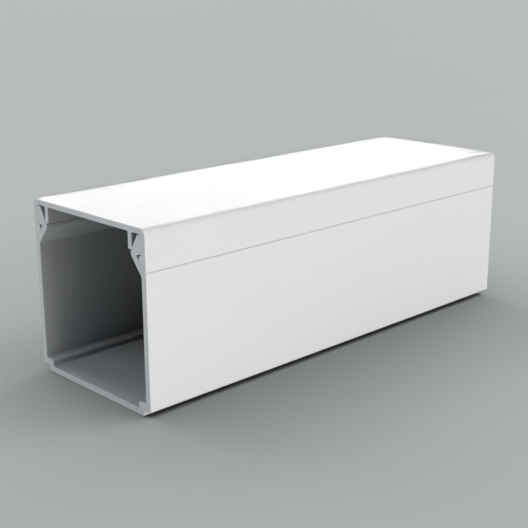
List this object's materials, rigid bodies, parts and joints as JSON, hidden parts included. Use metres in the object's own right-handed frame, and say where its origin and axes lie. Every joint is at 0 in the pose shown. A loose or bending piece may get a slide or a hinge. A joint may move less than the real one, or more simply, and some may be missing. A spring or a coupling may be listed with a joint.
{
  "type": "cord cover raceway",
  "caption": "Short length of square cable raceway: a channel base that fixes to a wall and a clip-on cover that closes it over the cords.",
  "frame": {"origin": "middle of the floor plate's underside, the face that goes against the wall", "axes": "+X along the length of the extrusion, +Y across it, +Z from the back face out through the cover"},
  "size_m": [0.12, 0.0398, 0.0403],
  "materials": {
    "base_plastic": "satin",
    "lid_plastic": "satin"
  },
  "bodies": {
    "base": {"base_channel": "base_plastic"},
    "cover": {"lid": "lid_plastic"}
  },
  "joints": [
    {"name": "lid_slide", "type": "slide", "parent": "base", "child": "cover", "axis": [1, 0, 0], "range_m": [-0.125, 0.125]}
  ]
}
